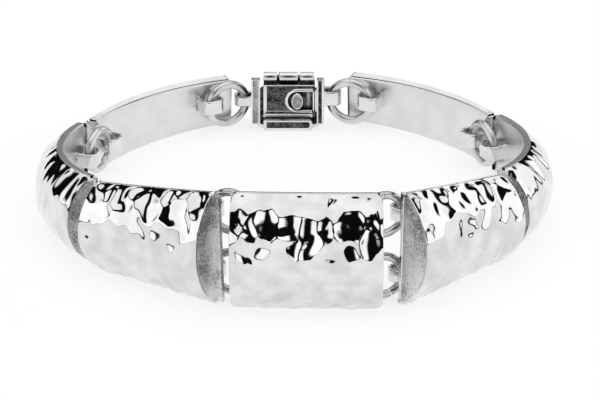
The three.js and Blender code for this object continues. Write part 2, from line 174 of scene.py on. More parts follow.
# The hammer marks: how far apart they are along the link and around the dome, how round the
# hammer's face is each way, where the rows start, and how much their places and depths vary.
PITS = {
    kind: dict(zip(("along", "around", "round_along", "round_around", "start", "stray", "depth", "drift"), values))
    for kind, values in {
        "centre": (2.15, 3.1, 3.2, 6.0, 1.9, 0.3, 0.14, 0.9),
        "front": (2.15, 2.7, 3.7, 5.0, 0.2, 0.34, 0.12, 0.8),
        "side": (1.5, 4.4, 3.6, 13.0, 0, 0.3, 0.06, 0.6),
        "back": (2.2, 2.6, 5, 6, 0, 0.34, 0.1, 0.8),
    }.items()
}
NEAR_PITS = 7  # how many pits can shape one spot of the dome
DRIFT_SPAN = 2.6  # how far the rows run before they wander off another way
RIDGE_SOFTNESS = 0.055  # how much polishing rounds the ridges between the pits
POLISHED_OFF = 0.02  # how much polishing takes off all over
SHALLOW_END, LEAST_DEPTH = 0.9, 0.2  # how near a link's ends the pits are shallower, down to this share
OVERRUN = 4  # how much longer than the link the rows of pits are


def mixed(pair, t):
    """A measure of a link at t, which runs from -1 at its wide end to 1 at its narrow end."""
    return pair[0] + (pair[1] - pair[0]) * (t + 1) / 2


def leaned(link, z):
    """How far the link's lean moves what is at this height."""
    return (z - (link["a"][0] + link["b"][0]) / 4) * math.tan(math.radians(link["lean"]))


def draw_line(bm, vert, step, pieces=1):
    """Draws the section on by one straight step, in even pieces."""
    for _ in range(pieces):
        made = bmesh.ops.extrude_vert_indiv(bm, verts=[vert])
        vert = made["verts"][0]
        bmesh.ops.translate(bm, verts=[vert], vec=Vector(step) / pieces)
    return vert


def draw_arc(bm, vert, centre, degrees, steps):
    """Draws the section on around an arc."""
    made = bmesh.ops.spin(
        bm, geom=[vert], cent=centre, axis=(1, 0, 0), angle=math.radians(degrees), steps=steps, use_duplicate=False
    )
    return next(v for v in made["geom_last"] if isinstance(v, bmesh.types.BMVert))


def dome_of(height, depth, edge):
    """Radius of a dome over a plate, and half the angle that it spans."""
    rise = depth - edge
    radius = (height**2 / 4 + rise**2) / (2 * rise)
    return radius, math.asin(height / 2 / radius)


def bar_along_curve(bm, link):
    """The link's D section drawn once, then spun along the curve of its inner face."""
    height, depth, edge = (mixed(pair, 0) for pair in zip(link["a"], link["b"]))
    radius, half = dome_of(height, depth, edge)
    y0 = -link["bow"]
    v = bm.verts.new((0, y0, height / 2))
    v = draw_line(bm, v, (0, 0, height / 2 - CORNER - FLAT))
    v = draw_line(bm, v, (0, 0, FLAT))
    v = draw_arc(bm, v, (0, y0 - CORNER, height - CORNER), 90, 4)
    v = draw_line(bm, v, (0, -(edge - CORNER), 0), 4)
    steps = round(2 * half * radius / FINE)
    v = draw_arc(bm, v, (0, y0 - depth + radius, height / 2), math.degrees(2 * half), steps)
    v = draw_line(bm, v, (0, edge - CORNER, 0), 4)
    v = draw_arc(bm, v, (0, y0 - CORNER, CORNER), 90, 4)
    v = draw_line(bm, v, (0, 0, FLAT))
    draw_line(bm, v, (0, 0, height / 2 - CORNER - FLAT))
    bmesh.ops.remove_doubles(bm, verts=bm.verts, dist=0.001)
    bend = (link["length"] ** 2 / 4 + link["bow"] ** 2) / (2 * link["bow"])
    sweep = math.asin(link["length"] / 2 / bend)
    middle = (0, bend - link["bow"], 0)
    bmesh.ops.rotate(bm, verts=bm.verts, cent=middle, matrix=Matrix.Rotation(-sweep, 3, "Z"))
    bmesh.ops.spin(
        bm,
        geom=bm.verts[:] + bm.edges[:],
        cent=middle,
        axis=(0, 0, 1),
        angle=2 * sweep,
        steps=round(link["length"] / FINE),
        use_duplicate=False,
    )
    return bend, sweep


def taper_and_lean(bm, link, bend, sweep):
    """Narrows the even bar towards its b end, and returns where each vertex of the dome is on it."""
    height, depth, edge = (mixed(pair, 0) for pair in zip(link["a"], link["b"]))
    radius, half = dome_of(height, depth, edge)
    hair, border = 0.001, 0.7  # a hair's width, and how far the marks fade out along the dome's edges
    on_dome = {}
    for v in bm.verts:
        x, y = v.co.x, bend - link["bow"] - v.co.y
        angle, out, up = math.atan2(x, y), math.hypot(x, y) - bend, v.co.z
        t = angle / sweep
        h, d, e = (mixed(pair, t) for pair in zip(link["a"], link["b"]))
        outward = Vector((math.sin(angle), -math.cos(angle), 0))
        tilt = math.atan2(up - height / 2, out - depth + radius)
        if out > edge + hair:
            fade = min(1, radius * (half - abs(tilt)) / border)
            normal = outward * math.cos(tilt) + Vector((0, 0, math.sin(tilt)))
            on_dome[v] = (angle * bend, tilt * radius * h / height, fade * fade * (3 - 2 * fade), normal)
        out = out * e / edge if out < edge else e + (out - edge) * (d - e) / (depth - edge)
        up = up * h / height
        if out < e + hair and up > h / 2:
            up -= link["top"] * (e - out)
        turned = link["corner"] - bend * (sweep - abs(angle))
        if turned > 0:
            drop = link["corner"] - math.sqrt(max(0, link["corner"] ** 2 - turned**2))
            up = min(max(up, drop), h - drop)
        v.co = outward * (bend + out) + Vector((0, bend - link["bow"], up))
        v.co.x += leaned(link, up)
    return on_dome


def hammer(on_dome, length, pits, seed):
    """Sinks overlapping round pits into the dome, with the ridges between them softened by polishing."""
    chance = random.Random(seed)
    wide, tall = math.sqrt(2 * pits["round_along"]), math.sqrt(2 * pits["round_around"])
    reach = max(abs(around) for _, around, _, _ in on_dome.values()) + pits["around"]
    rows = 2 * math.ceil(reach / pits["around"])
    columns = math.ceil((length + OVERRUN) / pits["along"])
    marks = []
    for row in range(rows):
        for column in range(columns):
            x = column + (row % 2) / 2 + chance.uniform(-1, 1) * pits["stray"] - columns / 2
            y = row + chance.uniform(-1, 1) * pits["stray"] - rows / 2
            deep = chance.uniform(0, pits["depth"])
            marks.append((x * pits["along"] / wide, (y * pits["around"] + pits["start"]) / tall, deep))
    tree = kdtree.KDTree(len(marks))
    for i, (x, y, _) in enumerate(marks):
        tree.insert((x, y, 0), i)
    tree.balance()
    soft = RIDGE_SOFTNESS
    # The rows drift along and around by two smooth noises, taken far apart, and other ones for each seed.
    for v, (along, around, fade, normal) in on_dome.items():
        spot = Vector((along / DRIFT_SPAN, around / DRIFT_SPAN, seed * 0.7))
        x = along + noise.noise(spot) * pits["drift"]
        y = around + noise.noise(spot + Vector((0, 0, 40))) * pits["drift"]
        near = tree.find_n((x / wide, y / tall, 0), NEAR_PITS)
        low = soft * math.log(sum(math.exp((marks[i][2] - far * far) / soft) for _, i, far in near))
        inland = min(1, (length / 2 - abs(along)) / SHALLOW_END)
        share = LEAST_DEPTH + (1 - LEAST_DEPTH) * inland
        v.co += normal * ((-POLISHED_OFF - low) * fade * share)


def strap_place(link, bend, sweep, end, inset, z):
    """Where a strap stands on the inner face: end is -1 or 1, and inset is the way back from it."""
    angle = end * (sweep - inset / bend)
    x, y = bend * math.sin(angle) + leaned(link, z), bend - link["bow"] - bend * math.cos(angle)
    return Matrix.Translation((x, y, z)) @ Matrix.Rotation(angle, 4, "Z")


def bent_strap(bm, place, length=3.1, rise=2.7, wall=0.4, width=1.95, outer=1.0, soft=0.17):
    """A flat strip with softened edges, bent twice into an arch, with a fillet of solder at its feet."""
    before = set(bm.verts)
    sunk, toe, fillet = 0.35, 0.12, 0.25  # how deep the feet go in, and the two steps of the solder
    wide_foot, wide_toe = 1.9, 1.35  # how much the solder widens the strip at those steps
    made = bmesh.ops.create_grid(bm, x_segments=1, y_segments=1, size=0.5)
    turn = Matrix.Rotation(math.pi / 2, 4, "X")
    shape = Matrix.Translation((-length / 2 + wall / 2, -sunk, 0)) @ turn @ Matrix.Diagonal((wall, width, 1, 1))
    bmesh.ops.transform(bm, matrix=shape, verts=made["verts"])
    bmesh.ops.bevel(bm, geom=made["verts"], offset=soft, affect="VERTICES", segments=3, profile=0.5, material=-1)
    faces = list({f for v in set(bm.verts) - before for f in v.link_faces})
    feet = [v for f in faces for v in f.verts]

    def push(faces, step):
        grown = bmesh.ops.extrude_face_region(bm, geom=faces)["geom"]
        bmesh.ops.delete(bm, geom=faces, context="FACES_ONLY")
        fresh = [g for g in grown if isinstance(g, bmesh.types.BMVert)]
        bmesh.ops.translate(bm, verts=fresh, vec=step)
        return [g for g in grown if isinstance(g, bmesh.types.BMFace)], fresh

    faces, ring = push(faces, (0, sunk + toe, 0))
    flare = [(feet, wide_foot), (ring, wide_toe)]
    faces, _ = push(faces, (0, fillet, 0))
    faces, _ = push(faces, (0, rise - outer - toe - fillet, 0))

    def around(faces, centre):
        made = bmesh.ops.spin(
            bm, geom=faces, cent=centre, axis=(0, 0, -1), angle=math.pi / 2, steps=8, use_duplicate=False
        )
        bmesh.ops.delete(bm, geom=faces, context="FACES_ONLY")
        return [g for g in made["geom_last"] if isinstance(g, bmesh.types.BMFace)]

    faces = around(faces, (-length / 2 + outer, rise - outer, 0))
    faces, _ = push(faces, (length - 2 * outer, 0, 0))
    faces = around(faces, (length / 2 - outer, rise - outer, 0))
    faces, _ = push(faces, (0, -(rise - outer - toe - fillet), 0))
    faces, ring = push(faces, (0, -fillet, 0))
    flare.append((ring, wide_toe))
    faces, ring = push(faces, (0, -sunk - toe, 0))
    flare.append((ring, wide_foot))
    for verts, grow in flare:
        middle = (length - wall) / 2 * (-1 if verts[0].co.x < 0 else 1)
        for v in verts:
            v.co.x = middle + (v.co.x - middle) * grow
            v.co.z *= 1 + (grow - 1) * wall / width * 1.5
    bmesh.ops.transform(bm, matrix=place, verts=[v for v in bm.verts if v not in before])


def plate_tab(bm, link, bend, sweep, reach, margin=0.4, root=0.3):
    """The inner plate run on past the a end, as a strip a little lower than the link."""
    height, _, edge = link["a"]
    angle, inside = -sweep, 0.05
    thick = edge - 2 * inside
    size = Matrix.Diagonal((reach + root, thick, height - 2 * margin, 1))
    middle = Matrix.Translation(((root - reach) / 2, -thick / 2 - inside, height / 2))
    made = bmesh.ops.create_cube(bm, size=1, matrix=middle @ size)
    edges = list({e for v in made["verts"] for e in v.link_edges})
    rounded = bmesh.ops.bevel(bm, geom=edges, offset=0.12, affect="EDGES", segments=3, profile=0.5, material=-1)
    new = list(set(rounded["verts"]) | {v for v in made["verts"] if v.is_valid})
    place = Matrix.Translation((bend * math.sin(angle), bend - link["bow"] - bend * math.cos(angle), 0))
    bmesh.ops.transform(bm, matrix=place @ Matrix.Rotation(angle, 4, "Z"), verts=new)
    for v in new:
        v.co.x += leaned(link, v.co.z)


def stepped_panel(bm, faces, steps, **settings):
    """Frames and panels: each step is how far in from the last one, and how far up or down."""
    for thickness, depth in steps:
        bmesh.ops.inset_region(bm, faces=faces, thickness=thickness, depth=depth, **settings)


HAMMERED, SATIN, SANDED, BRIGHT = range(4)
FACING = 0.8  # cosine of how far a face can turn and still count as part of a flat side


def make_link(name, kind, turn, straps, seed, mirrored=False, tab=0):
    """One link. Straps are given by end, distance in from it, and heights. Tab is a strip's reach."""
    link = LINKS[kind]
    bm = bmesh.new()
    bend, sweep = bar_along_curve(bm, link)
    on_dome = taper_and_lean(bm, link, bend, sweep)
    body = set(bm.verts)
    for end, inset, heights in straps:
        for z in heights:
            bent_strap(bm, strap_place(link, bend, sweep, end, inset, z))
    if tab:
        plate_tab(bm, link, bend, sweep, tab)
    placed = Matrix.Rotation(math.radians(turn), 4, "Z")
    if mirrored:
        placed = Matrix.Diagonal((-1, 1, 1, 1)) @ placed
    low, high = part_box(name)
    spots = [placed @ v.co for v in bm.verts]
    shift = Vector(
        [1000 * (low[i] + high[i]) / 2 - (min(p[i] for p in spots) + max(p[i] for p in spots)) / 2 for i in (0, 1)]
        + [0]
    )
    hammer(on_dome, link["length"], PITS[kind], seed)

    # The straps are bright down to their feet. The solder at their feet is sanded, a darker finish that
    # also paints the shade where the straps meet the plate; the tab is sanded, the inner plate is satin,
    # and so are the long edges of the side links.
    # Strap faces within this distance of the inner face take the darker finish: painted shade at the feet.
    painted_shade_at_feet = 0.3
    for f in bm.faces:
        from_middle = f.calc_center_median() - Vector((0, bend - link["bow"], 0))
        from_middle.z = 0
        outward = from_middle.normalized()
        if f.verts[0] not in body:
            f.material_index = SANDED if bend - from_middle.length < painted_shade_at_feet else BRIGHT
        elif all(v in on_dome for v in f.verts):
            f.material_index = HAMMERED
        elif abs(f.normal.dot(outward)) > FACING or kind == "side" and abs(f.normal.z) > FACING:
            f.material_index = SATIN
        else:
            f.material_index = BRIGHT

    # The ends: a bright rim of sheet around a sanded plate that sits just inside it.
    open_edges = [e for e in bm.edges if e.is_boundary]
    caps = bmesh.ops.holes_fill(bm, edges=open_edges, sides=0)["faces"]
    bmesh.ops.recalc_face_normals(bm, faces=bm.faces)
    for cap in caps:
        cap.material_index = BRIGHT
        stepped_panel(bm, [cap], ((0.07, 0.05), (0.3, 0), (0.05, -0.1)), use_even_offset=False)
        cap.material_index = SANDED
    bmesh.ops.transform(bm, matrix=Matrix.Scale(0.001, 4) @ Matrix.Translation(shift) @ placed, verts=bm.verts)
    bmesh.ops.recalc_face_normals(bm, faces=bm.faces)
    finishes = [hammered_silver, satin_silver, sanded_silver, bright_silver]
    finish_piece(bm, name + "_silver", finishes, name)


def finish_piece(bm, name, materials, *nodes, body="bracelet", slot="polished_silver", crease=35):
    """The mesh as a piece on its body, smooth but for creases, in place of the named solids."""
    for f in bm.faces:
        f.smooth = True
    for e in bm.edges:
        if len(e.link_faces) == 2 and e.calc_face_angle() > math.radians(crease):
            e.smooth = False
    mesh = bpy.data.meshes.new(name)
    bm.to_mesh(mesh)
    bm.free()
    for material in materials:
        mesh.materials.append(material)
    piece = bpy.data.objects.new(name, mesh)
    bpy.context.scene.collection.objects.link(piece)
    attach(piece, body)
    if nodes:
        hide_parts(*nodes)


def silver(name, colour, roughness, spread, grain, bump, haze=0.05):
    """Silver that varies a little: a faint haze, roughness over a spread, and fine grain as bump."""
    material, shader, add = node_material(name)
    shader.inputs["Metallic"].default_value = 1
    place = add("ShaderNodeTexCoord")
    in_mm = add("ShaderNodeMapping", {"Vector": place.outputs["Object"], "Scale": (1000, 1000, 1000)})
    patches = add("ShaderNodeTexNoise", {"Vector": in_mm.outputs[0], "Scale": 0.35, "Detail": 2, "Roughness": 0.5})
    amount = add("ShaderNodeMapRange", {"Value": patches.outputs[0], "From Min": 0.35, "From Max": 0.65})
    tone = add("ShaderNodeMix", {0: amount.outputs[0]}, data_type="RGBA")
    tone.inputs[6].default_value = (*[c - haze for c in colour], 1)
    tone.inputs[7].default_value = (*[c + haze for c in colour], 1)
    shader.id_data.links.new(tone.outputs[2], shader.inputs["Base Color"])
    cloud = add("ShaderNodeTexNoise", {"Vector": in_mm.outputs[0], "Scale": 0.9, "Detail": 5, "Roughness": 0.6})
    reach = {"From Min": 0.3, "From Max": 0.7, "To Min": roughness, "To Max": roughness + spread}
    rough = add("ShaderNodeMapRange", {"Value": cloud.outputs[0], **reach})
    shader.id_data.links.new(rough.outputs[0], shader.inputs["Roughness"])
    fine = add("ShaderNodeTexNoise", {"Vector": in_mm.outputs[0], "Scale": grain, "Detail": 3, "Roughness": 0.6})
    relief = add("ShaderNodeBump", {"Strength": 1.0, "Distance": bump * 0.001, "Height": fine.outputs[0]})
    shader.id_data.links.new(relief.outputs[0], shader.inputs["Normal"])
    return material


hammered_silver = silver("hammered_silver", (0.73, 0.73, 0.735), 0.03, 0.04, 1.5, 0.002, haze=0.075)
bright_silver = silver("bright_silver", (0.74, 0.74, 0.745), 0.06, 0.06, 3.0, 0.004)
satin_silver = silver("satin_silver", (0.76, 0.76, 0.765), 0.28, 0.08, 6.0, 0.002, haze=0.03)


def worn_silver(name, dark, pale, roughness, patches, specks, fine=9.0, painted_light_below=0):
    """Blackened or sanded silver: cloudy patches and fine specks between a dark and a pale grey, and, where asked,
    paler towards the bottom as painted light from the table.
    """
    material, shader, add = node_material(name)
    shader.inputs["Metallic"].default_value = 1
    place = add("ShaderNodeTexCoord")
    in_mm = add("ShaderNodeMapping", {"Vector": place.outputs["Object"], "Scale": (1000, 1000, 1000)}).outputs[0]
    cloud = add("ShaderNodeTexNoise", {"Vector": in_mm, "Scale": patches, "Detail": 3, "Roughness": 0.55}).outputs[0]
    grain = add("ShaderNodeTexNoise", {"Vector": in_mm, "Scale": fine, "Detail": 4, "Roughness": 0.7}).outputs[0]
    share = add("ShaderNodeMath", {0: grain, 1: specks}, operation="MULTIPLY_ADD")
    height = add("ShaderNodeSeparateXYZ", {0: in_mm}).outputs["Z"]
    # Paler towards the bottom, from 11 mm high down to 1 mm: painted light, standing in for the pale table's light on
    # the lower part.
    low = add("ShaderNodeMapRange", {"Value": height, "From Min": 11, "From Max": 1, "To Max": painted_light_below}).outputs[0]
    patches_and_painted_light = add("ShaderNodeMath", {0: cloud, 1: low}, operation="ADD").outputs[0]
    shader.id_data.links.new(patches_and_painted_light, share.inputs[2])
    reach = {"From Min": 0.36 + specks / 2, "From Max": 0.64 + specks / 2}
    level = add("ShaderNodeMapRange", {"Value": share.outputs[0], **reach})
    tone = add("ShaderNodeMix", {0: level.outputs[0]}, data_type="RGBA")
    tone.inputs[6].default_value = (dark, dark, dark, 1)
    tone.inputs[7].default_value = (pale, pale, pale * 0.99, 1)
    shader.id_data.links.new(tone.outputs[2], shader.inputs["Base Color"])
    rough = add("ShaderNodeMapRange", {"Value": grain, "To Min": roughness, "To Max": roughness + 0.25})
    shader.id_data.links.new(rough.outputs[0], shader.inputs["Roughness"])
    relief = add("ShaderNodeBump", {"Strength": 1.0, "Distance": 0.00002, "Height": grain})
    shader.id_data.links.new(relief.outputs[0], shader.inputs["Normal"])
    return material


# The sanded finish is paler towards the bottom, as painted light from the table.
sanded_silver = worn_silver("sanded_silver", 0.27, 0.9, 0.38, patches=0.28, specks=1.3, fine=4.5, painted_light_below=0.18)

# The heights of the rings: two at each end of the centre link, then one at each joint.
FRONT_RINGS = {"left": (3.7, 12.0), "right": (3.25, 11.7)}
SIDE_RING, BACK_RING, CLASP_RING = (5.85,), (3.95,), (3.85,)
straps = [(-1, 2.35, FRONT_RINGS["left"]), (1, 2.35, FRONT_RINGS["right"])]
make_link("link_centre", "centre", -1.1, straps, seed=60)
for side, turns in (("left", (36.9, 84.9, 137.6)), ("right", (47.6, 89.7, 140.1))):
    left = side == "left"
    straps = [(-1, 1.75, FRONT_RINGS[side]), (1, 1.95, SIDE_RING)]
    make_link("link_front_" + side, "front", turns[0], straps, 67 + left, left, tab=0.9 * left)
    straps = [(-1, 1.95, SIDE_RING), (1, 1.7, BACK_RING)]
    make_link("link_side_" + side, "side", turns[1], straps, 78 + left, left)
    straps = [(-1, 1.7, BACK_RING), (1, 3.65, CLASP_RING)]
    make_link("link_back_" + side, "back", turns[2], straps, 81 + left, left)

# ---------------------------------------------------------------- jump rings
# Ten rings of round silver wire, wound on a rod, cut and closed by bending the two ends together,
# so that each has a butt joint. They hang through the straps and the clasp's lugs. The wire is
# 1.07 mm thick, and 1.12 mm at the clasp. The rings at the front and side links are polished, and
# painted darker, as painted shade for the dark link interiors around them.

ring_wire = silver("ring_wire", (0.68, 0.68, 0.685), 0.24, 0.12, 3.0, 0.008)
# A darker tone than the other ring wire: painted shade on the rings inside the front and side links.
polished_wire_painted_shade = silver("polished_wire_painted_shade", (0.52, 0.52, 0.525), 0.08, 0.08, 3.0, 0.006)
RING_SIZE, CLASP_RING_SIZE = (5.3, 0.535), (5.45, 0.56)  # across the middle of the wire, its radius
RING_TURNS = {
    "ring_front_left_lower": 161.4,
    "ring_front_left_upper": 160.4,
    "ring_front_right_lower": 18.1,
    "ring_front_right_upper": 19.6,
    "ring_side_left": 127.1,
    "ring_side_right": 62.3,
    "ring_back_left": 60.3,
    "ring_back_right": 120.3,
    "ring_clasp_left": 26.6,
    "ring_clasp_right": -12.35,
}
# Where each ring's butt joint is, in degrees up from its level radius on the outer side.
RING_JOINTS = {"ring_front_right_lower": 291, "ring_clasp_left": 200}
USUAL_JOINT = 90
# One joint has opened a little. These are the gaps in degrees.
OPEN_GAP, CLOSED_GAP = 2.6, 0.6
for name, turn in RING_TURNS.items():
    low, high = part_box(name)
    across, wire = CLASP_RING_SIZE if "clasp" in name else RING_SIZE
    joint_gap = OPEN_GAP if name == "ring_front_right_lower" else CLOSED_GAP
    bm = bmesh.new()
    bmesh.ops.create_circle(bm, cap_ends=False, segments=20, radius=wire)
    bmesh.ops.translate(bm, verts=bm.verts, vec=(across / 2, 0, 0))
    bmesh.ops.spin(
        bm,
        geom=bm.verts[:] + bm.edges[:],
        cent=(0, 0, 0),
        axis=(0, 1, 0),
        angle=math.radians(360 - joint_gap),
        steps=84,
        use_duplicate=False,
    )
    bmesh.ops.holes_fill(bm, edges=[e for e in bm.edges if e.is_boundary], sides=0)
    joint = Matrix.Rotation(math.radians(-RING_JOINTS.get(name, USUAL_JOINT)), 4, "Y")
    place = Matrix.Translation((low + high) / 2) @ Matrix.Scale(0.001, 4)
    place = place @ Matrix.Rotation(math.radians(turn), 4, "Z") @ joint
    bmesh.ops.transform(bm, matrix=place, verts=bm.verts)
    bmesh.ops.recalc_face_normals(bm, faces=bm.faces)
    # The front and side rings take the darker wire, as painted shade.
    finish = polished_wire_painted_shade if "front" in name or "side" in name else ring_wire
    finish_piece(bm, name + "_wire", [finish], name, slot="ring_silver")

# ---------------------------------------------------------------- clasp box and tongue
# A box clasp of sheet silver between two domed end plates. Its tongue slides in from the right and
# is let go with the oval thumb button in the slot. All of it is blackened, then rubbed bright on
# its edges, so flat faces stay dark and mottled and every rim shines.

blackened_silver = worn_silver("blackened_silver", 0.012, 0.14, 0.3, patches=0.9, specks=1.6, fine=4.0)
plate_silver = worn_silver("plate_silver", 0.2, 0.62, 0.4, patches=0.6, specks=0.9)
rubbed_silver = silver("rubbed_silver", (0.78, 0.78, 0.785), 0.14, 0.16, 4.0, 0.006)

for name in ("clasp_box", "clasp_tongue"):
    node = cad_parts[name]
    node.data.materials.clear()
    node.data.materials.append(blackened_silver)
    node.data.materials.append(rubbed_silver)
    weld = node.modifiers.new("weld", "WELD")
    weld.merge_threshold = 1e-6
    flat_faces = node.modifiers.new("flat_faces", "DECIMATE")
    flat_faces.decimate_type = "DISSOLVE"
    flat_faces.angle_limit = math.radians(2)
    rubbed_edges = node.modifiers.new("rubbed_edges", "BEVEL")
    rubbed_edges.width = 0.00011
    rubbed_edges.segments = 2
    rubbed_edges.limit_method = "ANGLE"
    rubbed_edges.angle_limit = math.radians(35)
    rubbed_edges.material = 1

# The clasp's own frame: x along the chain, y out from the wrist, z up, from the box's inner panel.
box_low, box_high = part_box("clasp_box")
clasp_place = Matrix.Translation((box_high.x - 0.0036, box_low.y + 0.0002, 0)) @ Matrix.Scale(0.001, 4)


def clasp_piece(bm, name, materials, *nodes, body="bracelet", crease=35):
    """A piece that was drawn in the clasp's own frame."""
    bmesh.ops.transform(bm, matrix=clasp_place, verts=bm.verts)
    bmesh.ops.recalc_face_normals(bm, faces=bm.faces)
    finish_piece(bm, name, materials, *nodes, body=body, slot="oxidised_silver", crease=crease)


def rod(bm, x, y, z, radius, soft=0.12):
    """A round bar along x with softened ends."""
    made = bmesh.ops.create_cone(
        bm, cap_ends=True, segments=28, radius1=radius, radius2=radius, depth=x[1] - x[0],
        matrix=Matrix.Translation(((x[0] + x[1]) / 2, y, z)) @ Matrix.Rotation(math.pi / 2, 4, "Y"),
    )
    rims = {e for v in made["verts"] for e in v.link_edges if any(len(f.verts) > 4 for f in e.link_faces)}
    bmesh.ops.bevel(bm, geom=list(rims), offset=soft, affect="EDGES", segments=3, profile=0.5, material=-1)


def slab(bm, x, y, z, soft=0.06):
    """A flat bar with rounded edges."""
    size = Matrix.Diagonal((x[1] - x[0], y[1] - y[0], z[1] - z[0], 1))
    middle = Matrix.Translation(((x[0] + x[1]) / 2, (y[0] + y[1]) / 2, (z[0] + z[1]) / 2))
    made = bmesh.ops.create_cube(bm, size=1, matrix=middle @ size)
    edges = list({e for v in made["verts"] for e in v.link_edges})
    bmesh.ops.bevel(bm, geom=edges, offset=soft, affect="EDGES", segments=3, profile=0.5, material=-1)


# The barrel of the hinge: the box's two outer knuckles, each a short length of tube.
HINGE_Y, HINGE_Z, HINGE_RADIUS = 1.1, 7.15, 0.67
for name, reach in (("knuckle_left", (-3.3, -1.5)), ("knuckle_right", (1.6, 3.5))):
    bm = bmesh.new()
    rod(bm, reach, HINGE_Y, HINGE_Z, HINGE_RADIUS)
    clasp_piece(bm, name, [rubbed_silver])

# The raised rim round the slot, half-round wire bent into a U and soldered on.
RIM_X, RIM_Z, RIM_TURN = 1.33, 4.13, 1.55
UPPER_END, LOWER_END = 3.35, 3.2
bm = bmesh.new()
bmesh.ops.create_circle(bm, cap_ends=False, segments=12, radius=0.25)
turned = Matrix.Translation((UPPER_END, -0.02, RIM_Z + RIM_TURN)) @ Matrix.Rotation(math.pi / 2, 4, "Y")
bmesh.ops.transform(bm, matrix=turned, verts=bm.verts)


def drawn_on(bm, geom, step):
    """Draws the wire's open end on by one straight step."""
    open_end = [g for g in geom if isinstance(g, bmesh.types.BMEdge)]
    grown = bmesh.ops.extrude_edge_only(bm, edges=open_end)["geom"]
    bmesh.ops.translate(bm, verts=[g for g in grown if isinstance(g, bmesh.types.BMVert)], vec=step)
    return grown


ends = drawn_on(bm, bm.edges[:], (RIM_X - UPPER_END, 0, 0))
ends = bmesh.ops.spin(
    bm,
    geom=[g for g in ends if not isinstance(g, bmesh.types.BMFace)],
    cent=(RIM_X, 0, RIM_Z),
    axis=(0, -1, 0),
    angle=math.pi,
    steps=24,
    use_duplicate=False,
)["geom_last"]
drawn_on(bm, ends, (LOWER_END - RIM_X, 0, 0))
bmesh.ops.holes_fill(bm, edges=[e for e in bm.edges if e.is_boundary], sides=0)
clasp_piece(bm, "slot_rim", [rubbed_silver])

# Trim on the box's inner panel: a round bar along its lower edge, a thin line of solder above it,
# and bright strips down its left edge and along its top.
bm = bmesh.new()
rod(bm, (-3.35, 3.3), -0.02, 2.0, 0.27, soft=0.1)
slab(bm, (-3.3, 0.4), (-0.04, 0.1), (2.56, 2.66), soft=0.03)
slab(bm, (-3.33, -2.85), (-0.05, 0.2), (2.2, 6.33), soft=0.07)
slab(bm, (-3.3, 3.5), (-0.05, 0.2), (6.26, 6.4), soft=0.05)
clasp_piece(bm, "panel_trim", [rubbed_silver])

# The tongue's stop is two upright bars in the mouth of the slot.
bm = bmesh.new()
slab(bm, (3.3, 3.52), (-0.24, 0.2), (2.75, 5.55), soft=0.08)
slab(bm, (3.6, 3.86), (-0.26, 0.2), (2.6, 5.75), soft=0.09)
clasp_piece(bm, "slot_stop", [rubbed_silver])

# The tongue's own front leaf shows in the slot; a paler strip on it, where the button's fold meets it, is a painted
# highlight.
bm = bmesh.new()
slab(bm, (2.5, 3.0), (0.66, 0.8), (2.8, 5.4), soft=0.03)
clasp_piece(bm, "leaf_painted_highlight", [plate_silver])

# The lugs that the rings hang from are strips bent into an arch and soldered to the end plates.
for name, x, side, width, z in (("lug_left", -4.91, -1, 1.4, 3.65), ("lug_right", 4.8, 1, 2.0, 4.05)):
    bm = bmesh.new()
    turned = Matrix.Rotation(-side * math.pi / 2, 4, "Z")
    bent_strap(bm, Matrix.Translation((x, 1.7, z)) @ turned, length=2.24, rise=2.33, wall=0.45, width=width, outer=1)
    clasp_piece(bm, name, [rubbed_silver])

# The outer edge of the right end plate is rubbed brightest.
bm = bmesh.new()
slab(bm, (4.5, 4.86), (-0.33, 0.1), (0.78, 7.36), soft=0.1)
clasp_piece(bm, "end_edge_shine", [rubbed_silver])

# The thumb button: an oval face inside a rim of round wire.
BUTTON_X, BUTTON_Z = 1.22, 4.15
OVAL = Matrix.Diagonal((0.71, 1, 1.06, 1))
bm = bmesh.new()
bmesh.ops.create_circle(bm, cap_ends=False, segments=10, radius=0.11)
bmesh.ops.translate(bm, verts=bm.verts, vec=(1, 0, 0))
bmesh.ops.spin(
    bm,
    geom=bm.verts[:] + bm.edges[:],
    cent=(0, 0, 0),
    axis=(0, 1, 0),
    angle=2 * math.pi,
    steps=40,
    use_merge=True,
    use_duplicate=False,
)
bmesh.ops.transform(bm, matrix=Matrix.Translation((BUTTON_X, -0.29, BUTTON_Z)) @ OVAL, verts=bm.verts)
clasp_piece(bm, "button_rim", [rubbed_silver])

bm = bmesh.new()
bmesh.ops.create_cone(bm, cap_ends=True, segments=32, radius1=0.95, radius2=0.95, depth=0.08)
face = Matrix.Translation((BUTTON_X, -0.3, BUTTON_Z)) @ OVAL
bmesh.ops.transform(bm, matrix=face @ Matrix.Rotation(math.pi / 2, 4, "X"), verts=bm.verts)
clasp_piece(bm, "button_face", [plate_silver])

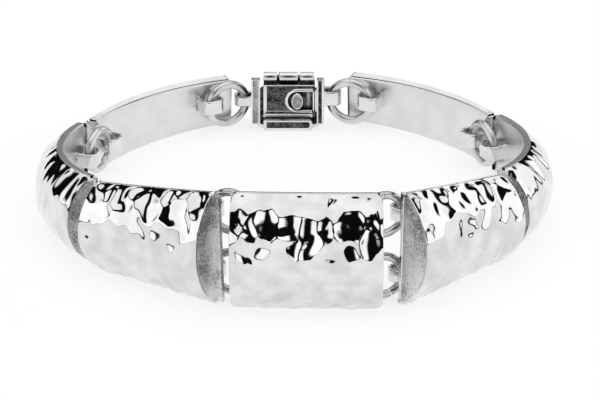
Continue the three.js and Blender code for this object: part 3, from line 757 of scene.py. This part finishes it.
# The front edges of the two end plates: a face inside a thin bright rim, sanded on the left plate, and on the right
# one blackened and darker, partly as painted shade on that face.
for name, reach, face_silver in (
    ("end_edge_left", (-4.94, -3.77), plate_silver),
    # The right face is blackened, and its darker tone also paints the shade on it.
    ("end_edge_right", (3.85, 4.83), blackened_silver),
):
    bm = bmesh.new()
    bmesh.ops.create_grid(bm, x_segments=1, y_segments=1, size=0.5)
    shape = Matrix.Diagonal((reach[1] - reach[0], 1, 6.6, 1)) @ Matrix.Rotation(math.pi / 2, 4, "X")
    middle = Matrix.Translation(((reach[0] + reach[1]) / 2, -0.26, 4.05))
    bmesh.ops.transform(bm, matrix=middle @ shape, verts=bm.verts)
    bmesh.ops.bevel(bm, geom=bm.verts[:], offset=0.3, affect="VERTICES", segments=5, profile=0.5, material=-1)
    grown = bmesh.ops.extrude_face_region(bm, geom=bm.faces[:])["geom"]
    bmesh.ops.translate(bm, verts=[g for g in grown if isinstance(g, bmesh.types.BMVert)], vec=(0, 0.3, 0))
    bmesh.ops.recalc_face_normals(bm, faces=bm.faces)
    front = [f for f in bm.faces if f.normal.y < -0.9]
    stepped_panel(bm, front, ((0.06, 0.04), (0.1, 0), (0.04, -0.03)))
    for f in front:
        f.material_index = 1
    clasp_piece(bm, name, [rubbed_silver, face_silver])

# ---------------------------------------------------------------- safety cover
# A domed shell of sheet over the outside of the clasp. It swings up on the hinge's middle knuckle,
# and its lip wraps under the box and snaps against it on the wrist side. The dome is hammered and
# polished like the links, and the lip is blackened inside a bright rim.

DOME_Y, DOME_Z, DOME_RADIUS = -0.6, 4.05, 4.2
COVER_LENGTH = 9.4
COVER_RIM, COVER_DARK, COVER_INSIDE = range(3)
COVER_OUTLINE = ((-0.11, 3.25), (0.24, 4.7), (3.7, 4.7), (4.9, 3.25), (9, 3.25))  # height, half width


def half_width(z):
    """Half the cover's width at this height: wide in the middle, narrow at its ends."""
    for (z0, w0), (z1, w1) in zip(COVER_OUTLINE, COVER_OUTLINE[1:]):
        if z <= z1:
            return w0 + (w1 - w0) * max(0, (z - z0) / (z1 - z0))


def shell(bm, width, top, bottom, step=0.2):
    """Sheet bent round the clasp, from the top angle down to the bottom one, made as one thin wall."""
    old = set(bm.verts)
    rise = math.radians(top)
    spot = (-width / 2, DOME_Y + DOME_RADIUS * math.cos(rise), DOME_Z + DOME_RADIUS * math.sin(rise))
    first = bm.verts.new(spot)
    draw_line(bm, first, (width, 0, 0), round(width / step))
    line = [v for v in bm.verts if v not in old]
    bmesh.ops.spin(
        bm,
        geom=line + list({e for v in line for e in v.link_edges}),
        cent=(0, DOME_Y, DOME_Z),
        axis=(-1, 0, 0),
        angle=math.radians(top - bottom),
        steps=round(math.radians(top - bottom) * DOME_RADIUS / step),
        use_duplicate=False,
    )
    return [v for v in bm.verts if v not in old]


bm = bmesh.new()
on_shell = {}
for v in shell(bm, COVER_LENGTH, 47, -82):
    normal = Vector((0, v.co.y - DOME_Y, v.co.z - DOME_Z)).normalized()
    fade = min(1, (v.co.z - 0.1) / 0.8, (6.7 - v.co.z) / 0.8)
    on_shell[v] = (v.co.x, math.atan2(normal.z, normal.y) * DOME_RADIUS, max(0, fade), normal)
    v.co.x *= half_width(v.co.z) / (COVER_LENGTH / 2)
    v.co.z = max(v.co.z, 0.03)
hammer(on_shell, COVER_LENGTH, PITS["back"], 41)
shell(bm, 2.5, 60, 46)
bmesh.ops.recalc_face_normals(bm, faces=bm.faces)
if sum(f.normal.y * (f.calc_center_median().y - DOME_Y) for f in bm.faces) < 0:
    bmesh.ops.reverse_faces(bm, faces=bm.faces)
bmesh.ops.solidify(bm, geom=bm.faces[:], thickness=0.5)
for f in bm.faces:
    middle = f.calc_center_median()
    inside = math.hypot(middle.y - DOME_Y, middle.z - DOME_Z) < DOME_RADIUS - 0.4
    f.material_index = COVER_INSIDE if inside else COVER_RIM
rod(bm, (-1.2, 1.35), HINGE_Y, HINGE_Z, HINGE_RADIUS)

# The lip: a strip under the box, and an upright front with a rounded right end.
slab(bm, (-3.25, 3.25), (-0.9, 1.0), (0.1, 0.6), soft=0.08)
old = set(bm.faces)
made = bmesh.ops.create_grid(bm, x_segments=1, y_segments=1, size=0.5)
shape = Matrix.Diagonal((6.6, 1, 1.7, 1)) @ Matrix.Rotation(math.pi / 2, 4, "X")
bmesh.ops.transform(bm, matrix=Matrix.Translation((0, -1.0, 0.97)) @ shape, verts=made["verts"])
for side, soft in ((-1, 0.3), (1, 0.75)):
    corners = [v for v in made["verts"] if v.is_valid and v.co.x * side > 0]
    bmesh.ops.bevel(bm, geom=corners, offset=soft, affect="VERTICES", segments=6, profile=0.5, material=-1)
sheet = [f for f in bm.faces if f not in old]
grown = bmesh.ops.extrude_face_region(bm, geom=sheet)["geom"]
bmesh.ops.translate(bm, verts=[g for g in grown if isinstance(g, bmesh.types.BMVert)], vec=(0, 0.5, 0))
lip = [f for f in bm.faces if f not in old]
bmesh.ops.recalc_face_normals(bm, faces=lip)
front = [f for f in lip if f.normal.y < -0.9]
for f in lip:
    if f.normal.z > 0.9:
        f.material_index = COVER_DARK
stepped_panel(bm, front, ((0.16, 0.12), (0.18, 0), (0.08, -0.08)))
for f in front:
    f.material_index = COVER_DARK
cover_finishes = [rubbed_silver, blackened_silver, plate_silver]
clasp_piece(bm, "cover_silver", cover_finishes, "safety_cover", body="cover", crease=30)
